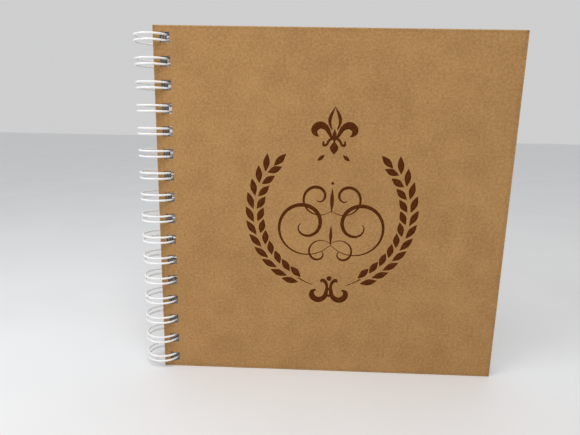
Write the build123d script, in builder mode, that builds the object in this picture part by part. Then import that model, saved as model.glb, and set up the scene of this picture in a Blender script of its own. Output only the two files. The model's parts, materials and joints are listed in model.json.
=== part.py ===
"""Square scrapbook album: two kraft-wrapped board covers and card leaves on a twin-loop wire.

The album stands closed on its covers' bottom edges. Z is up along the spine, X runs from the
spine to the fore-edge and the front cover faces -Y. The origin is the middle of the footprint.
Every cover and leaf turns about the middle line of the wire's loops. Sizes are in millimetres.
"""

from build123d import *

import os
from math import asin, atan, cos, floor, hypot, pi, radians, sin, sqrt

# Covers: grey board, wrapped in kraft paper that turns in over the edges, lined inside
cover_width = 203.2
cover_height = 203.2
board_thickness = 2.0
wrap_thickness = 0.15
turn_in = 15.0  # width of the wrap's border on the inside
lining_thickness = 0.12
lining_inset = 2.5  # from the cover's edge to the lining's
arris_radius = 0.5  # of the wrapped edges

# Leaves: card, flush with the covers at the spine and short of them elsewhere
leaf_count = 20
leaf_thickness = 0.28
leaf_gap = 0.05
front_gap = 0.10  # from the front cover's lining to the first leaf
end_overhang = 1.6  # of the covers past the leaves, at the top and at the bottom
fore_overhang = 3.2  # of the covers past the leaves, at the fore-edge

# Binding wire: one coated wire, bent into a comb of hairpins and rolled into closed loops
wire_diameter = 1.2
loop_inner_diameter = 19.05
loop_pitch = 12.7
loop_gap = 3.2  # between the middle lines of a loop's two strands
bend_radius = 1.0  # of the middle line, where a strand turns into a link
end_stub = 0.8  # straight wire left past the outermost bends
end_margin = 6.0  # least distance from a loop's middle to the end of the cover
seam_clearance = 0.2  # from the links to the last leaf and to the back cover
tip_clearance = 0.1  # from the hairpins' tips to the links that they close on

# Punched holes, the same in covers and leaves
hole_margin = 4.0  # from the spine edge to the hole
hole_end_clearance = 0.55  # from the strands to the hole's ends, along the spine
hole_near_clearance = 1.2  # from the strands to the hole's wall nearer the spine
hole_far_clearance = 0.4  # from the loop's outside to the hole's far wall
hole_corner_radius = 0.4

# Layers of the closed album, from front to back
cover_thickness = board_thickness + 2 * wrap_thickness + lining_thickness
leaf_step = leaf_thickness + leaf_gap
block_thickness = leaf_count * leaf_step - leaf_gap
seam_gap = wire_diameter + 2 * seam_clearance
album_thickness = 2 * cover_thickness + front_gap + block_thickness + seam_gap
half_thickness = album_thickness / 2
first_leaf_y = -half_thickness + cover_thickness + front_gap
seam_y = half_thickness - cover_thickness - seam_gap / 2

# Loops and the holes that they pass through, measured from the loops' middle line
wire_radius = wire_diameter / 2
loop_radius = loop_inner_diameter / 2 + wire_radius
strand_at_face = sqrt((loop_inner_diameter / 2) ** 2 - half_thickness**2)
hole_near = strand_at_face - hole_near_clearance
hole_far = loop_radius + wire_radius + hole_far_clearance
hole_width = hole_far - hole_near
hole_height = loop_gap + wire_diameter + 2 * hole_end_clearance
spine_offset = hole_near - hole_margin

# Places in the album's frame
footprint_width = cover_width + spine_offset + loop_radius + wire_radius
axis_x = -footprint_width / 2 + loop_radius + wire_radius
spine_x = axis_x + spine_offset
middle_z = cover_height / 2
loop_count = floor((cover_height - 2 * end_margin) / loop_pitch) + 1
loop_heights = [middle_z + (n - (loop_count - 1) / 2) * loop_pitch for n in range(loop_count)]


def sheet_plane(y, inward):
    """A plane across the album at y. Its X starts at the spine edge, its normal is +Y or -Y."""
    return Plane(origin=(spine_x, y, middle_z), x_dir=(1, 0, 0), z_dir=(0, inward, 0))


def sheet_outline(width, height, spine_inset=0.0):
    """A rectangle that starts spine_inset from the spine edge, centred on the album's height."""
    with Locations((spine_inset + width / 2, 0)):
        Rectangle(width, height)


def cover_outline(inset):
    sheet_outline(cover_width - 2 * inset, cover_height - 2 * inset, inset)


def punched_holes():
    """The row of binding holes along the spine."""
    with Locations((hole_margin + hole_width / 2, 0)):
        with GridLocations(0, loop_pitch, 1, loop_count):
            RectangleRounded(hole_width, hole_height, hole_corner_radius)


def punch(outside, depth):
    """Cuts the binding holes through the sub-part being built, inwards from this plane."""
    with BuildSketch(outside) as holes:
        punched_holes()
    extrude(holes.sketch, amount=depth, mode=Mode.SUBTRACT)


def make_cover(side, outside_y, inward):
    """A board, its kraft wrap and its lining, built up from the cover's outside face."""
    outside = sheet_plane(outside_y, inward)
    wrapped_thickness = board_thickness + 2 * wrap_thickness
    outer_radius = min(arris_radius, wrapped_thickness / 3)
    board_radius = max(outer_radius - wrap_thickness, outer_radius / 2)

    with BuildPart() as unpunched_board:
        with BuildSketch(outside.offset(wrap_thickness)):
            cover_outline(wrap_thickness)
        extrude(amount=board_thickness)
        fillet(unpunched_board.edges(), radius=board_radius)

    with BuildPart() as board:
        add(unpunched_board.part)
        punch(outside, cover_thickness)
    board.part.label = f"{side}_cover_board"
    export_step(board.part, f"parts/{side}_cover_board.step")

    with BuildPart() as wrap:
        with BuildSketch(outside):
            cover_outline(0)
        extrude(amount=wrapped_thickness)
        fillet(wrap.edges(), radius=outer_radius)
        add(unpunched_board.part, mode=Mode.SUBTRACT)
        with BuildSketch(outside.offset(wrap_thickness + board_thickness)):
            cover_outline(turn_in)
        extrude(amount=wrap_thickness, mode=Mode.SUBTRACT)
        punch(outside, cover_thickness)
    wrap.part.label = f"{side}_cover_wrap"
    export_step(wrap.part, f"parts/{side}_cover_wrap.step")

    with BuildPart() as lining:
        with BuildSketch(outside.offset(wrapped_thickness)):
            cover_outline(lining_inset)
        extrude(amount=lining_thickness)
        with BuildSketch(outside.offset(wrapped_thickness)):
            cover_outline(turn_in)
        extrude(amount=-wrap_thickness)
        with BuildSketch(outside.offset(cover_thickness)):
            cover_outline(turn_in + lining_thickness)
        extrude(amount=-wrap_thickness, mode=Mode.SUBTRACT)
        punch(outside, cover_thickness)
    lining.part.label = f"{side}_cover_lining"
    export_step(lining.part, f"parts/{side}_cover_lining.step")


def make_leaf(number):
    leaf_plane = sheet_plane(first_leaf_y + (number - 1) * leaf_step, 1)
    with BuildPart() as leaf:
        with BuildSketch(leaf_plane):
            sheet_outline(cover_width - fore_overhang, cover_height - 2 * end_overhang)
        extrude(amount=leaf_thickness)
        punch(leaf_plane, leaf_thickness)
    leaf.part.label = f"leaf_{number:02d}"
    export_step(leaf.part, f"parts/leaf_{number:02d}.step")


def on_loop(angle, z, along=0.0):
    """A point of the loops' middle line at this angle, moved along the tangent there."""
    x = axis_x + loop_radius * cos(angle) - along * sin(angle)
    y = loop_radius * sin(angle) + along * cos(angle)
    return Vector(x, y, z)


def make_binding_wire():
    """The links stand behind the last leaf. From there the strands go back through the back
    cover, round the spine and in through the front, and the hairpins' tips meet the links."""
    link_angle = asin(seam_y / hypot(loop_radius, bend_radius))
    start_angle = link_angle + atan(bend_radius / loop_radius)
    tip_reach = atan(loop_gap / 2 / loop_radius)
    tip_space = (wire_diameter + tip_clearance) / loop_radius
    end_angle = 2 * pi + link_angle - tip_space - tip_reach
    half_gap = loop_gap / 2
    bend_along = bend_radius * cos(radians(45))
    bend_rise = bend_radius * (1 - sin(radians(45)))
    link_height = half_gap + bend_radius

    with BuildPart() as binding_wire:
        with BuildLine() as middle_line:
            first_z = loop_heights[0]
            end = on_loop(start_angle, first_z - link_height - end_stub, -bend_radius)
            for z in loop_heights:
                foot = on_loop(start_angle, z - link_height, -bend_radius)
                Line(end, foot)
                below = z - half_gap
                above = z + half_gap
                ThreePointArc(
                    foot,
                    on_loop(start_angle, below - bend_rise, -bend_along),
                    on_loop(start_angle, below),
                )
                ThreePointArc(
                    on_loop(start_angle, below),
                    on_loop((start_angle + end_angle) / 2, below),
                    on_loop(end_angle, below),
                )
                ThreePointArc(
                    on_loop(end_angle, below),
                    on_loop(end_angle, z, half_gap),
                    on_loop(end_angle, above),
                )
                ThreePointArc(
                    on_loop(end_angle, above),
                    on_loop((start_angle + end_angle) / 2, above),
                    on_loop(start_angle, above),
                )
                end = on_loop(start_angle, z + link_height, -bend_radius)
                ThreePointArc(
                    on_loop(start_angle, above),
                    on_loop(start_angle, above + bend_rise, -bend_along),
                    end,
                )
            Line(end, end + Vector(0, 0, end_stub))
        with BuildSketch(middle_line.line ^ 0):
            Circle(wire_radius)
        sweep()
    binding_wire.part.label = "binding_wire"
    export_step(binding_wire.part, "parts/binding_wire.step")


os.makedirs("parts", exist_ok=True)
make_cover("front", -half_thickness, 1)
make_cover("back", half_thickness, -1)
for number in range(1, leaf_count + 1):
    make_leaf(number)
make_binding_wire()
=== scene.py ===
"""Square scrapbook album: kraft-wrapped covers, card leaves and a white twin-loop wire binding.

The sections follow the album as it is put together: boards, kraft wraps, linings, leaves,
binding wire and the print on the front cover. Then come the floor, the lights and the camera.
Everything is in metres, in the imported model's frame. Z is up along the spine.
"""

import json
from math import asin, atan, cos, hypot, pi, radians, sin

import bmesh
import bpy
from mathutils import Matrix, Vector


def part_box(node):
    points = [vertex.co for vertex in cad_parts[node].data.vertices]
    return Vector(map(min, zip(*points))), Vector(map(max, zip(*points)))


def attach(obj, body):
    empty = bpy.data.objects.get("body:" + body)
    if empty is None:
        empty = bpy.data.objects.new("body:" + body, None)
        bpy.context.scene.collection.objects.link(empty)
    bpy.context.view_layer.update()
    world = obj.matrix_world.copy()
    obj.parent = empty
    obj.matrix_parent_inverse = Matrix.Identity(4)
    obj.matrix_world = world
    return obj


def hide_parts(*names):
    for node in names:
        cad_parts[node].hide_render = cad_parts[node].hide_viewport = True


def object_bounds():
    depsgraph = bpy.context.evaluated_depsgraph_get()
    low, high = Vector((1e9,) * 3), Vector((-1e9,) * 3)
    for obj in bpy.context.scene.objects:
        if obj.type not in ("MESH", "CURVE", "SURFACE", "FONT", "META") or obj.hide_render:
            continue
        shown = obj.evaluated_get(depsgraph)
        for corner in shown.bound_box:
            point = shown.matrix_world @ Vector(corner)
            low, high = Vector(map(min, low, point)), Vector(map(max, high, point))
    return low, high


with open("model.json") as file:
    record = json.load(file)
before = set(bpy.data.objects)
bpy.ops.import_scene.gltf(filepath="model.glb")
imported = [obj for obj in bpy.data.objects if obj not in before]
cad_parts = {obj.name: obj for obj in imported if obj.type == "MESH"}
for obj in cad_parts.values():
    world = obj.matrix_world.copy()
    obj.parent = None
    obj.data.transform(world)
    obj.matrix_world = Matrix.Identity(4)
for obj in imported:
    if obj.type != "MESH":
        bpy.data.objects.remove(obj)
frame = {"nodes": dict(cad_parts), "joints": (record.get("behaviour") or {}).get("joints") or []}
cad_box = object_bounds()
mm = 0.001


# Grey boards
# The core of each cover is a 2 mm board of recycled waste paper, pressed from grey pulp with
# darker and paler fibres in it. Only the cut walls of the punched holes show it.
class Field:
    """A number or a colour that varies over a surface: one output of a material's nodes."""

    def __init__(self, tree, socket):
        self.tree = tree
        self.socket = socket

    def node(self, kind, inputs, settings=None, output=0):
        """Adds a node to the same material, with its settings made before its inputs."""
        added = self.tree.nodes.new(kind)
        for name, value in (settings or {}).items():
            setattr(added, name, value)
        for name, value in inputs.items():
            if isinstance(value, Field):
                self.tree.links.new(value.socket, added.inputs[name])
            else:
                added.inputs[name].default_value = value
        return Field(self.tree, added.outputs[output])

    def maths(self, operation, first, second=0.0):
        return self.node("ShaderNodeMath", {0: first, 1: second}, {"operation": operation})

    def __add__(self, other):
        return self.maths("ADD", self, other)

    def __sub__(self, other):
        return self.maths("SUBTRACT", self, other)

    def __rsub__(self, other):
        return self.maths("SUBTRACT", other, self)

    def __mul__(self, other):
        return self.maths("MULTIPLY", self, other)

    def __abs__(self):
        return self.maths("ABSOLUTE", self)

    __radd__ = __add__
    __rmul__ = __mul__

    def fraction(self):
        return self.maths("FRACT", self)

    def larger(self, other):
        return self.maths("MAXIMUM", self, other)

    def smaller(self, other):
        return self.maths("MINIMUM", self, other)

    def rise(self, start, end):
        """0 up to start, 1 from end on and a smooth step between. It falls if end is less."""
        rising = start < end
        inputs = {
            "Value": self,
            "From Min": min(start, end),
            "From Max": max(start, end),
            "To Min": 0.0 if rising else 1.0,
            "To Max": 1.0 if rising else 0.0,
        }
        return self.node("ShaderNodeMapRange", inputs, {"interpolation_type": "SMOOTHSTEP"})

    def blend(self, first, second):
        """The first colour where this is 0 and the second where it is 1."""
        inputs = {0: self, 6: first, 7: second}  # the Mix node's sockets for colours
        return self.node("ShaderNodeMix", inputs, {"data_type": "RGBA"}, output=2)


def start_material(name):
    """A material with a Principled shader, its shader node and the object's own coordinates."""
    material = bpy.data.materials.new(name)
    material.use_nodes = True
    tree = material.node_tree
    place = Field(tree, tree.nodes.new("ShaderNodeTexCoord").outputs["Object"])
    return material, tree.nodes["Principled BSDF"], place


def finish_material(shader, colour, roughness, height, depth):
    """Feeds a shader its colour and roughness, and a bump of this depth from the height."""
    tree = colour.tree
    bump = colour.node("ShaderNodeBump", {"Height": height, "Strength": 1.0, "Distance": depth})
    tree.links.new(colour.socket, shader.inputs["Base Color"])
    tree.links.new(roughness.socket, shader.inputs["Roughness"])
    tree.links.new(bump.socket, shader.inputs["Normal"])


def clouds(place, size, detail=2.0, stretch=(1.0, 1.0, 1.0), turn=(0.0, 0.0, 0.0), wander=0.0):
    """Soft blotches of about this size, drawn out by stretch after a turn."""
    scale = tuple(1 / (size * s) for s in stretch)
    mapped = place.node("ShaderNodeMapping", {"Vector": place, "Rotation": turn})
    mapped = mapped.node("ShaderNodeMapping", {"Vector": mapped, "Scale": scale})
    noise = {"Vector": mapped, "Scale": 1.0, "Detail": detail, "Distortion": wander}
    return mapped.node("ShaderNodeTexNoise", noise)


def strands(place, size, turn, thickness, share):
    """Short curving fibres: where stretched blotches pass their middle value, broken up."""
    fibre_stretch = (1.0, 1.0, 7.0)
    fibre_wander = 0.35
    break_size = 1.7 * size
    break_softness = 0.06
    drawn_out = clouds(place, size, 1.0, fibre_stretch, turn, fibre_wander)
    lines = abs(drawn_out - 0.5).rise(thickness, 0.0)
    breaks = clouds(place, break_size, 1.0, turn=turn)
    return lines * breaks.rise(1 - share, 1 + break_softness - share)


def flecks(place, spacing, size):
    """Separate dots of up to this size, about one in each cell of this spacing."""
    cells = {"Vector": place, "Scale": 1 / spacing, "Randomness": 1.0}
    return place.node("ShaderNodeTexVoronoi", cells).rise(size / spacing / 2, size / spacing / 4)


def grey_board():
    material, shader, place = start_material("grey_board")
    pulp = clouds(place, 1.2 * mm, 4.0)
    layers = clouds(place, 0.25 * mm, 2.0, (12.0, 1.0, 12.0))
    dark_fibres = strands(place, 0.5 * mm, (0.2, 0.4, 0.1), 0.05, 0.5)
    pale_fibres = strands(place, 0.4 * mm, (0.9, 0.1, 0.7), 0.05, 0.5)
    dark_grey, pale_grey = (0.19, 0.175, 0.155, 1.0), (0.33, 0.31, 0.28, 1.0)
    blackish, whitish = (0.07, 0.065, 0.06, 1.0), (0.55, 0.53, 0.49, 1.0)
    colour = (pulp * 0.5 + layers * 0.5).rise(0.3, 0.7).blend(dark_grey, pale_grey)
    colour = (dark_fibres * 0.6).blend(colour, blackish)
    colour = (pale_fibres * 0.6).blend(colour, whitish)
    roughness = pulp * 0.1 + 0.85
    finish_material(shader, colour, roughness, layers + pale_fibres, 0.06 * mm)
    return material


def dress(node, material):
    """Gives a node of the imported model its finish."""
    for slot in frame["nodes"][node].material_slots:
        slot.material = material


sides = ("front", "back")
board_finish = grey_board()
for side in sides:
    dress(f"{side}_cover_board", board_finish)


# Kraft wraps
# A sheet of unbleached brown kraft paper is glued over the outside of each board, and its
# edges are turned in over the inside. Its long fibres, dark shives and cloudy pulp show. It is
# rubbed along the turned edges, where a painted highlight on the rounded arris lightens it too,
# creased and mitred at the corners, which carry painted fold shade, and frayed round the holes.
loop_pitch = 12.7 * mm
hole_width = 5.4 * mm
hole_height = 5.5 * mm
hole_margin = 4.0 * mm  # from the spine edge to the holes
cover_low, cover_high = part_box("front_cover_wrap")


def kraft_fibres(place):
    """The paper's structure, which its colour, its relief and the ink on it all follow."""
    return {
        "cloud": clouds(place, 14 * mm, 3.0),
        "mottle": clouds(place, 1.3 * mm, 3.0, (1.2, 1.0, 1.0)),
        "grain": clouds(place, 0.35 * mm, 3.0),
        "pale": strands(place, 0.7 * mm, (0.3, 0.35, 0.2), 0.024, 0.5).larger(
            strands(place, 0.6 * mm, (0.1, -0.9, 0.4), 0.024, 0.46)
        ),
        "dark": strands(place, 0.6 * mm, (0.6, 0.1, 0.9), 0.022, 0.45).larger(
            strands(place, 0.7 * mm, (1.2, 1.3, 0.3), 0.022, 0.42)
        ),
        "shives": flecks(place, 2.6 * mm, 0.4 * mm),
    }


def axes(place):
    """The x, y and z of a place, as three fields."""
    return [place.node("ShaderNodeSeparateXYZ", {"Vector": place}, output=n) for n in range(3)]


def edge_distances(place, low, high):
    """How far a point of a sheet is inside its nearer side edge, and its nearer end edge."""
    x, _, z = axes(place)
    return (x - low.x).smaller(high.x - x), (z - low.z).smaller(high.z - z)


def hole_distance(place):
    """How far a point of the cover is outside the nearest punched hole."""
    x, _, z = axes(place)
    hole_x = cover_low.x + hole_margin + hole_width / 2
    across = abs(x - hole_x) - hole_width / 2
    along = ((z - cover_low.z) * (1 / loop_pitch)).fraction()
    return across.larger(abs(along - 0.5) * loop_pitch - hole_height / 2)


def kraft_paper():
    material, shader, place = start_material("kraft_paper")
    paper = kraft_fibres(place)
    from_side, from_end = edge_distances(place, cover_low, cover_high)
    inside = from_side.smaller(from_end)
    # Lighter along every edge: partly rubbed wear, partly a painted highlight where the rounded
    # arris catches the light.
    rubbed_and_highlight = inside.rise(0.9 * mm, 0.0) * paper["mottle"].rise(0.3, 0.6)
    pressed = inside.rise(2.8 * mm, 1.2 * mm) * inside.rise(0.3 * mm, 1.0 * mm)
    # Painted fold shade at the corners, where the paper is also creased in the relief.
    crease_and_fold_shade = from_side.larger(from_end).rise(2.4 * mm, 0.8 * mm)
    outer_face = abs(cover_low.y)
    inner = abs(axes(place)[1]).rise(outer_face - 0.4 * mm, outer_face - 0.8 * mm)
    # A painted shade line along the mitres of the turned-in corners, which are also grooved in the
    # relief.
    mitre = inner * abs(from_side - from_end).rise(0.22 * mm, 0.05 * mm)
    rim = hole_distance(place).rise(0.7 * mm, 0.1 * mm)
    frayed = rim * paper["grain"].rise(0.5, 0.65)
    dark_kraft, pale_kraft = (0.318, 0.164, 0.053, 1.0), (0.478, 0.267, 0.097, 1.0)
    colour = (paper["cloud"] * 0.35 + paper["mottle"] * 0.65).rise(0.27, 0.73)
    colour = colour.blend(dark_kraft, pale_kraft)
    colour = (paper["grain"].rise(0.35, 0.75) * 0.4).blend(colour, (0.27, 0.135, 0.048, 1.0))
    colour = (paper["pale"] * 0.42).blend(colour, (0.62, 0.40, 0.19, 1.0))
    colour = (paper["dark"] * 0.5).blend(colour, (0.19, 0.085, 0.030, 1.0))
    colour = (paper["shives"] * 0.6).blend(colour, (0.13, 0.055, 0.018, 1.0))
    # The dull colour is real at the pressed band and round the holes, and painted fold shade at the
    # creased corners and along the mitres.
    dull_and_fold_shade = (pressed * 0.14 + rim * 0.35 + crease_and_fold_shade * 0.5).larger(mitre * 0.7)
    colour = dull_and_fold_shade.blend(colour, (0.17, 0.085, 0.036, 1.0))
    # Lighter where rubbed along the edges, which is partly wear and partly a painted arris
    # highlight, and where frayed round the holes.
    colour = (rubbed_and_highlight * 0.4 + frayed * 0.5).blend(colour, (0.62, 0.42, 0.22, 1.0))
    roughness = paper["mottle"] * 0.12 + 0.76
    relief = paper["grain"] * 0.5 + paper["pale"] * 0.8 + paper["mottle"] - paper["dark"] * 0.4
    relief = relief - rim * 1.5 - pressed * 0.6 - mitre * 2.0 + crease_and_fold_shade * paper["mottle"] * 4.0
    finish_material(shader, colour, roughness, relief, 0.05 * mm)
    shader.inputs["Specular IOR Level"].default_value = 0.3
    return material


kraft_finish = kraft_paper()
for side in sides:
    dress(f"{side}_cover_wrap", kraft_finish)


# Linings
# A sheet of smooth off-white paper is pasted over the inside of each cover, on the board and
# the turned-in kraft, whose edges and mitred corners show through as a faint step.
turn_in = 15.0 * mm


def lining_paper():
    material, shader, place = start_material("lining_paper")
    from_side, from_end = edge_distances(place, cover_low, cover_high)
    half_step = 0.3 * mm
    over_kraft = from_side.smaller(from_end).rise(turn_in + half_step, turn_in - half_step)
    mitre = over_kraft * abs(from_side - from_end).rise(0.35 * mm, 0.1 * mm)
    pulp = clouds(place, 6 * mm, 4.0)
    tooth = clouds(place, 0.3 * mm, 3.0)
    fibres = strands(place, 0.7 * mm, (0.4, 0.7, 0.2), 0.03, 0.45)
    colour = pulp.rise(0.25, 0.75).blend((0.72, 0.68, 0.59, 1.0), (0.775, 0.74, 0.65, 1.0))
    colour = (fibres * 0.25).blend(colour, (0.55, 0.48, 0.37, 1.0))
    colour = (over_kraft * 0.22 + mitre * 0.12).blend(colour, (0.50, 0.37, 0.22, 1.0))
    relief = tooth + fibres + over_kraft * 5.0 - mitre * 3.0
    finish_material(shader, colour, tooth * 0.15 + 0.68, relief, 0.02 * mm)
    return material


lining_finish = lining_paper()
for side in sides:
    dress(f"{side}_cover_lining", lining_finish)


# Leaves
# Loose sheets of white card, cut square and punched in one stack, so their holes line up. The
# faces have a fine tooth. The cut edges are greyer, with painted shade lines in the gaps between
# the sheets, and each sheet's tone differs a little.
leaf_names = sorted(name for name in frame["nodes"] if name.startswith("leaf_"))
leaf_low, leaf_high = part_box(leaf_names[0])
leaf_pitch = (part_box(leaf_names[-1])[0].y - leaf_low.y) / (len(leaf_names) - 1)


def leaf_card():
    material, shader, place = start_material("leaf_card")
    sheets = (axes(place)[1] - (leaf_low.y + leaf_high.y) / 2) * (1 / leaf_pitch) + 0.5
    number = {"W": sheets - sheets.fraction()}
    shade = sheets.node("ShaderNodeTexWhiteNoise", number, {"noise_dimensions": "1D"})
    from_side, from_end = edge_distances(place, leaf_low, leaf_high)
    cut_edge = from_side.smaller(from_end).rise(0.15 * mm, 0.02 * mm)
    # Painted shade lines in the gaps between the sheets, where they show at the cut edges.
    between = abs(sheets.fraction() - 0.5).rise(0.22, 0.46)
    pulp = clouds(place, 4 * mm, 4.0, (1.0, 0.1, 1.0))
    tooth = clouds(place, 0.45 * mm, 3.0)
    fibres = strands(place, 0.8 * mm, (0.5, 0.2, 0.6), 0.03, 0.45)
    dull_white, white = (0.765, 0.76, 0.74, 1.0), (0.82, 0.82, 0.805, 1.0)
    colour = (pulp * 0.6 + shade * 0.4).rise(0.15, 0.85).blend(dull_white, white)
    colour = (fibres * 0.18).blend(colour, (0.66, 0.64, 0.58, 1.0))
    # The cut edges take the painted gap shade between the sheets and a little of each sheet's own
    # tone.
    colour = (cut_edge * (between * 0.55 + shade * 0.15)).blend(colour, (0.34, 0.33, 0.31, 1.0))
    finish_material(shader, colour, tooth * 0.15 + 0.75, tooth + fibres * 0.5, 0.03 * mm)
    return material


leaf_finish = leaf_card()
for name in leaf_names:
    dress(name, leaf_finish)


# Binding wire
# One steel wire with a white nylon coat, bent into a comb of hairpins and rolled shut round
# the spine. Straight links join the hairpins between the last leaf and the back cover, and
# the hairpins' tips come round through the leaves and stop against them.
wire_diameter = 1.2 * mm
loop_inner_diameter = 19.05 * mm
loop_gap = 3.2 * mm
bend_radius = 1.0 * mm
end_stub = 0.8 * mm
tip_clearance = 0.1 * mm
wire_sides = 16
loop_steps = 84
bend_steps = 6  # in a quarter turn
merge_distance = 0.001 * mm
loop_radius = (loop_inner_diameter + wire_diameter) / 2
loop_middle = Vector(frame["joints"][0]["pos_m"])
wire_low, wire_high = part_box("binding_wire")
comb_height = wire_high.z - wire_low.z - loop_gap - 2 * (bend_radius + end_stub)
loop_count = round(comb_height / loop_pitch) + 1
seam_y = (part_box(leaf_names[-1])[1].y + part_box("back_cover_lining")[0].y) / 2


def loop_point(angle, z, along=0.0):
    """A point of the wire's middle line at this angle, moved along the tangent there."""
    outwards = Vector((cos(angle), sin(angle), 0.0))
    tangent = Vector((-sin(angle), cos(angle), 0.0))
    return Vector((loop_middle.x, 0.0, z)) + outwards * loop_radius + tangent * along


def hairpin_mesh(height):
    """One double loop at this height, and the open rings where it meets the links."""
    up = Vector((0.0, 0.0, 1.0))
    link_angle = asin(seam_y / hypot(loop_radius, bend_radius))
    start_angle = link_angle + atan(bend_radius / loop_radius)
    tip_reach = atan(loop_gap / 2 / loop_radius)
    end_angle = 2 * pi + link_angle - tip_reach - (wire_diameter + tip_clearance) / loop_radius
    start_tangent = Vector((-sin(start_angle), cos(start_angle), 0.0))
    end_tangent = Vector((-sin(end_angle), cos(end_angle), 0.0))
    loop_axis = Vector((loop_middle.x, 0.0, 0.0))
    foot_z = height - loop_gap / 2 - bend_radius
    head_z = height + loop_gap / 2 + bend_radius

    mesh = bmesh.new()
    foot = Matrix.Translation(loop_point(start_angle, foot_z, -bend_radius))
    bmesh.ops.create_circle(mesh, radius=wire_diameter / 2, segments=wire_sides, matrix=foot)
    ring = list(mesh.edges)
    for centre, axis, angle, steps in (
        (loop_point(start_angle, foot_z), up.cross(start_tangent), pi / 2, bend_steps),
        (loop_axis, up, end_angle - start_angle, loop_steps),
        (loop_point(end_angle, height), end_tangent.cross(up), pi, 2 * bend_steps),
        (loop_axis, up, start_angle - end_angle, loop_steps),
        (loop_point(start_angle, head_z), up.cross(start_tangent), pi / 2, bend_steps),
    ):
        made = bmesh.ops.spin(mesh, geom=ring, cent=centre, axis=axis, angle=angle, steps=steps)
        ring = [e for e in made["geom_last"] if isinstance(e, bmesh.types.BMEdge)]
    bmesh.ops.remove_doubles(mesh, verts=mesh.verts, dist=merge_distance)
    return mesh


def put_in_order(mesh):
    """Numbers a mesh's vertices, edges and faces by place, so that every run makes the same one."""
    for elements, place in (
        (mesh.verts, lambda v: tuple(v.co)),
        (mesh.edges, lambda e: tuple(e.verts[0].co + e.verts[1].co)),
        (mesh.faces, lambda f: tuple(f.calc_center_median())),
    ):
        for index, element in enumerate(sorted(elements, key=place)):
            element.index = index
        elements.sort()


def wire_mesh():
    """The hairpins one above another, bridged by the links, with a cut stub at each end."""
    middle_z = (cover_low.z + cover_high.z) / 2
    first_z = middle_z - (loop_count - 1) / 2 * loop_pitch
    mesh = hairpin_mesh(first_z)
    hairpin = list(mesh.verts) + list(mesh.edges) + list(mesh.faces)
    for n in range(1, loop_count):
        copy = bmesh.ops.duplicate(mesh, geom=hairpin)["geom"]
        verts = [v for v in copy if isinstance(v, bmesh.types.BMVert)]
        bmesh.ops.translate(mesh, vec=(0.0, 0.0, n * loop_pitch), verts=verts)
    ends = sorted((e for e in mesh.edges if e.is_boundary), key=lambda e: e.verts[0].co.z)
    rings = [ends[n : n + wire_sides] for n in range(0, len(ends), wire_sides)]
    for lower, upper in zip(rings[1:-1:2], rings[2:-1:2]):
        bmesh.ops.bridge_loops(mesh, edges=lower + upper)
    for ring, length in ((rings[0], -end_stub), (rings[-1], end_stub)):
        made = bmesh.ops.extrude_edge_only(mesh, edges=ring)["geom"]
        verts = [v for v in made if isinstance(v, bmesh.types.BMVert)]
        bmesh.ops.translate(mesh, vec=(0.0, 0.0, length), verts=verts)
        cut = [e for e in mesh.edges if e.is_boundary and set(e.verts) <= set(verts)]
        bmesh.ops.contextual_create(mesh, geom=cut)
    bmesh.ops.recalc_face_normals(mesh, faces=mesh.faces)
    for face in mesh.faces:
        face.smooth = len(face.verts) == 4
    put_in_order(mesh)
    return mesh


def coated_wire():
    material, shader, place = start_material("coated_wire")
    coat = clouds(place, 1.5 * mm, 3.0)
    ripple = clouds(place, 0.5 * mm, 2.0)
    colour = coat.rise(0.25, 0.75).blend((0.80, 0.80, 0.795, 1.0), (0.87, 0.87, 0.865, 1.0))
    finish_material(shader, colour, ripple * 0.12 + 0.26, ripple, 0.015 * mm)
    shader.inputs["IOR"].default_value = 1.53
    return material


def add_piece(name, mesh, material, body):
    """A finished mesh in place at the origin, riding on a body of the album."""
    data = bpy.data.meshes.new(name)
    mesh.to_mesh(data)
    mesh.free()
    data.materials.append(material)
    piece = bpy.data.objects.new(name, data)
    bpy.context.scene.collection.objects.link(piece)
    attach(piece, body)
    return piece


wire = add_piece("coated_binding_wire", wire_mesh(), coated_wire(), "binding")
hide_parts("binding_wire")


# Print on the front cover
# A laurel wreath, a lily bud, a scroll and a pen flourish, printed in dark brown ink straight
# on the kraft paper. The ink stands a hair above the paper, and the fibres show through it.
ink_body = 0.02  # how thick a stroke of ink is, as a share of its width
ink_step = 0.0005 * mm  # between the strokes of one ornament, where they cross
print_centre = Vector(((cover_low.x + cover_high.x) / 2, cover_low.y, 0.0))


def printing_ink():
    material, shader, place = start_material("printing_ink")
    paper = kraft_fibres(place)
    dark_ink, thin_ink = (0.066, 0.0150, 0.0020, 1.0), (0.100, 0.0250, 0.0040, 1.0)
    colour = paper["mottle"].rise(0.3, 0.7).blend(dark_ink, thin_ink)
    missed = (paper["pale"] * 0.3).larger(paper["grain"].rise(0.62, 0.8) * 0.25)
    colour = missed.blend(colour, (0.28, 0.14, 0.05, 1.0))
    relief = paper["grain"] * 0.5 + paper["pale"] * 0.8 + paper["mottle"]
    finish_material(shader, colour, paper["grain"] * 0.2 + 0.6, relief, 0.04 * mm)
    shader.inputs["Specular IOR Level"].default_value = 0.04
    return material


def spiral(middle, radii, angles, widths, steps):
    """A stroke that winds in or out about a middle, as points and widths in millimetres."""
    points = []
    for n in range(steps + 1):
        share = n / steps
        angle = radians(angles[0] + (angles[1] - angles[0]) * share)
        radius = radii[0] + (radii[1] - radii[0]) * share
        swell = sin(pi * share) ** 1.5
        width = widths[0] * (1 - share) + widths[2] * share + widths[1] * swell
        points.append((middle[0] + radius * cos(angle), middle[1] + radius * sin(angle), width))
    return points


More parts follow.
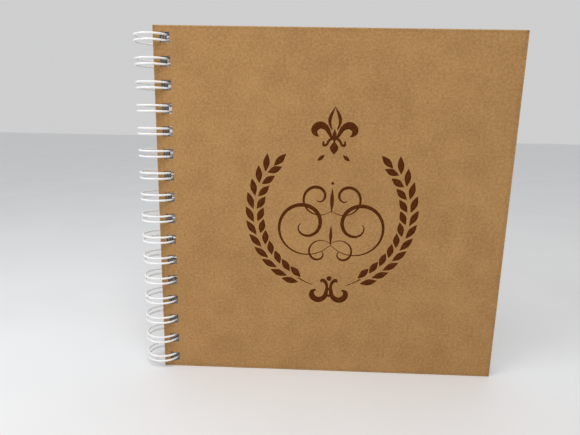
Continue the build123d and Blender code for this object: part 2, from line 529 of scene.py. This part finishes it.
def leaf_shape(middle, length, width, direction):
    """A pointed leaf along a direction in degrees, as a stroke that swells and closes."""
    shape = []
    for share, fullness in ((0.0, 0.03), (0.2, 0.62), (0.5, 1.1), (0.78, 0.68), (1.0, 0.03)):
        reach = (share - 0.5) * length
        x = middle[0] + reach * cos(radians(direction))
        z = middle[1] + reach * sin(radians(direction))
        shape.append((x, z, width * fullness))
    return shape


def mirrored(strokes):
    return strokes + [[(-x, z, width) for x, z, width in stroke] for stroke in strokes]


def dot(x, z, diameter):
    """A round dot, as a very short stroke as wide as the circle is at each point."""
    steps = 8
    end_width = 0.02
    points = []
    for n in range(steps + 1):
        angle = pi * n / steps
        points.append((x - diameter / 2 * cos(angle), z, diameter * sin(angle) + end_width))
    return points


def islands(mesh):
    """The groups of joined vertices in a mesh, one for each stroke."""
    left = set(mesh.verts)
    while left:
        group, edge = set(), {min(left, key=lambda v: v.index)}
        while edge:
            group |= edge
            edge = {e.other_vert(v) for v in edge for e in v.link_edges} - group
        left -= group
        yield list(group)


def print_on_cover(name, strokes):
    """Flat ink strokes on the front cover. Their places are millimetres from its bottom middle."""
    line = bpy.data.curves.new(name, "CURVE")
    line.dimensions = "3D"
    line.twist_mode = "Z_UP"
    line.bevel_depth = 0.5 * mm  # so a point's radius is its stroke's width in millimetres
    line.bevel_resolution = 1
    line.resolution_u = 3
    line.use_fill_caps = True
    for stroke in strokes:
        spline = line.splines.new("NURBS")
        spline.points.add(len(stroke) - 1)
        for point, (x, z, width) in zip(spline.points, stroke):
            point.co = (x * mm, z * mm, 0.0, 1.0)
            point.radius = width
        spline.order_u = 3
        spline.use_endpoint_u = True
    tube = bpy.data.objects.new(name, line)
    bpy.context.scene.collection.objects.link(tube)
    depsgraph = bpy.context.evaluated_depsgraph_get()
    flat = bmesh.new()
    flat.from_mesh(bpy.data.meshes.new_from_object(tube.evaluated_get(depsgraph)))
    bpy.data.objects.remove(tube)
    bpy.data.curves.remove(line)
    bmesh.ops.remove_doubles(flat, verts=flat.verts, dist=merge_distance)
    for layer, stroke_verts in enumerate(islands(flat)):
        bmesh.ops.scale(flat, vec=(1.0, 1.0, ink_body), verts=stroke_verts)
        bmesh.ops.translate(flat, vec=(0.0, 0.0, layer * ink_step), verts=stroke_verts)
    bmesh.ops.recalc_face_normals(flat, faces=flat.faces)
    onto_cover = Matrix.Translation(print_centre) @ Matrix.Rotation(pi / 2, 4, "X")
    bmesh.ops.transform(flat, matrix=onto_cover, verts=flat.verts)
    add_piece(name, flat, ink_finish, "front_cover")


ink_finish = printing_ink()

# The wreath is two laurel branches that rise from the scroll, with a row of leaves outside, a
# row inside and a leaf at the tip. The leaves lie closer to the stem towards its foot.
wreath_middle_z = 101.0
tip_tilt, foot_tilt = 31, 17  # degrees between a leaf and its stem
branch = [leaf_shape((-30.6, wreath_middle_z + 30.4), 9.8, 3.8, 46)]
for leaf_count, radius, first_angle, last_angle, length, width, lean in (
    (11, 47.9, 143.2, 240.5, 10.4, 3.8, 1),
    (11, 41.6, 143.6, 240.8, 8.9, 3.9, -1),
):
    for n in range(leaf_count):
        share = n / (leaf_count - 1)
        angle = first_angle + (last_angle - first_angle) * share
        middle = (radius * cos(radians(angle)), wreath_middle_z + radius * sin(radians(angle)))
        tilt = foot_tilt * share + tip_tilt * (1 - share)
        branch.append(leaf_shape(middle, length, width, angle - 90 + lean * tilt))
foot = spiral((0, wreath_middle_z), (44.2, 45.4), (245, 257.5), (0.75, 0.0, 0.35), 8)
print_on_cover("printed_wreath", mirrored(branch + [foot]))

# The lily bud stands above the wreath: an open middle petal, two that curl outwards, a band
# and a pointed foot, with a small leaf on each side below it.
bud_z = 148.3
bud_half = [
    [(x, bud_z + z, width) for x, z, width in petal]
    for petal in (
        ((-1.5, 0.6, 0.7), (-3.4, 4.4, 1.7), (-2.4, 8.6, 2.1), (0.0, 13.2, 0.2)),
        (
            (-1.2, -4.8, 1.0), (-2.6, -2.0, 1.9), (-4.4, 1.6, 2.9), (-8.0, 3.6, 4.2),
            (-11.6, 1.4, 4.2), (-11.3, -2.2, 2.7), (-8.6, -3.3, 0.3),
        ),
        (
            (-0.8, -4.0, 1.6), (-3.4, -5.2, 1.4), (-4.0, -8.2, 1.2), (-6.6, -8.2, 1.9),
            (-6.0, -5.8, 0.8),
        ),
    )
]
bud_half.append(leaf_shape((-7.2, bud_z - 15.3), 5.4, 2.2, 40))
bud_middle = [
    [(-2.4, bud_z - 4.4, 1.4), (0.0, bud_z - 4.4, 1.4), (2.4, bud_z - 4.4, 1.4)],
    leaf_shape((0, bud_z - 3.0), 8.0, 2.5, 90),
    leaf_shape((0, bud_z - 9.6), 7.4, 4.8, 90),
]
print_on_cover("printed_bud", mirrored(bud_half) + bud_middle)

# The scroll closes the wreath at the foot: two curls back to back, with a dot above and below.
scroll_z = 53.4
scroll_half = [
    [
        (x, scroll_z + z, width)
        for x, z, width in (
            (-4.9, 5.0, 0.4), (-4.6, 6.9, 2.6), (-2.0, 5.6, 2.0), (-1.0, 2.6, 1.6),
            (-1.3, -0.4, 2.2), (-2.2, -4.6, 2.9), (-6.6, -6.6, 3.6), (-10.4, -4.0, 3.6),
            (-10.0, 0.2, 2.6), (-7.4, 0.2, 0.4),
        )
    ]
]
scroll_middle = [
    dot(0, scroll_z + 7.6, 3.1),
    dot(0, scroll_z - 3.4, 1.8),
    [(-1.2, scroll_z + 0.8, 1.5), (0.0, scroll_z + 0.8, 1.5), (1.2, scroll_z + 0.8, 1.5)],
]
print_on_cover("printed_scroll", mirrored(scroll_half) + scroll_middle)

# The flourish inside the wreath is pen work with no letters: three pairs of spirals that leave
# a middle stem, thick where the nib would swell and thin where they wind in.
flourish_z = 97.0
flourish_half = [
    spiral((-15.6, flourish_z - 3.5), (19.5, 2.6), (-38, -560), (0.4, 1.8, 0.5), 44),
    spiral((-8.3, flourish_z + 13.0), (11.2, 1.6), (-44, -470), (0.35, 1.3, 0.5), 34),
    spiral((-6.6, flourish_z - 20.2), (8.6, 1.4), (42, 400), (0.3, 1.0, 0.4), 30),
]
flourish_middle = [
    leaf_shape((0, flourish_z + 11.5), 15.0, 2.2, 90),
    leaf_shape((0, flourish_z - 9.5), 13.0, 1.8, 90),
    dot(0, flourish_z + 21.5, 1.7),
]
print_on_cover("printed_flourish", mirrored(flourish_half) + flourish_middle)


# Floor
# A plain pale table top under the album, far wider than it.
floor_width = 8.0


def table_top():
    material, shader, place = start_material("table_top")
    cloud = clouds(place, 90 * mm, 3.0)
    tooth = clouds(place, 1.5 * mm, 2.0)
    dull_white, white = (0.79, 0.80, 0.81, 1.0), (0.82, 0.83, 0.84, 1.0)
    colour = cloud.rise(0.2, 0.8).blend(dull_white, white)
    finish_material(shader, colour, tooth * 0.1 + 0.5, tooth, 0.01 * mm)
    return material


floor_data = bpy.data.meshes.new("floor")
floor_shape = bmesh.new()
bmesh.ops.create_grid(floor_shape, x_segments=1, y_segments=1, size=floor_width / 2)
floor_shape.to_mesh(floor_data)
floor_shape.free()
floor_data.materials.append(table_top())
floor = bpy.data.objects.new("floor", floor_data)
bpy.context.scene.collection.objects.link(floor)


# Lights
# A bright room: even light from all round, a warm lamp high on the right in front, a cooler
# window near on the left and a ceiling panel above the table in front.
def soft_light(name, place, target, size, power, colour=(1.0, 1.0, 1.0)):
    lamp = bpy.data.lights.new(name, "AREA")
    lamp.color = colour
    lamp.shape = "SQUARE"
    lamp.size = size
    lamp.energy = power
    holder = bpy.data.objects.new(name, lamp)
    holder.location = place
    holder.rotation_euler = (Vector(target) - Vector(place)).to_track_quat("-Z", "Y").to_euler()
    bpy.context.scene.collection.objects.link(holder)


album_middle = (cad_box[0] + cad_box[1]) / 2
soft_light("lamp", (0.60, -1.35, 1.50), album_middle, 0.5, 3.8, (1.0, 0.90, 0.76))
soft_light("window", (-0.40, -0.30, 0.46), album_middle, 0.3, 1.3, (0.97, 0.98, 1.0))
soft_light("ceiling", (0.0, -0.36, 0.85), (0.0, -0.20, 0.0), 0.4, 1.6)
world = bpy.data.worlds.new("room")
world.use_nodes = True
world.node_tree.nodes["Background"].inputs["Color"].default_value = (0.62, 0.62, 0.625, 1.0)
bpy.context.scene.world = world
bpy.context.scene.view_settings.view_transform = "Standard"


# Camera
# It stands in front and looks slightly down at the cover, with a wide lens close to it.
camera_data = bpy.data.cameras.new("camera")
camera_data.sensor_width = 36.0
camera_data.lens = 28.55
camera_data.clip_start = 0.01
camera = bpy.data.objects.new("camera", camera_data)
camera.location = (-0.0099, -0.2706, 0.1530)
camera.rotation_euler = (radians(78.20), radians(-1.13), radians(1.99))
bpy.context.scene.collection.objects.link(camera)
bpy.context.scene.camera = camera
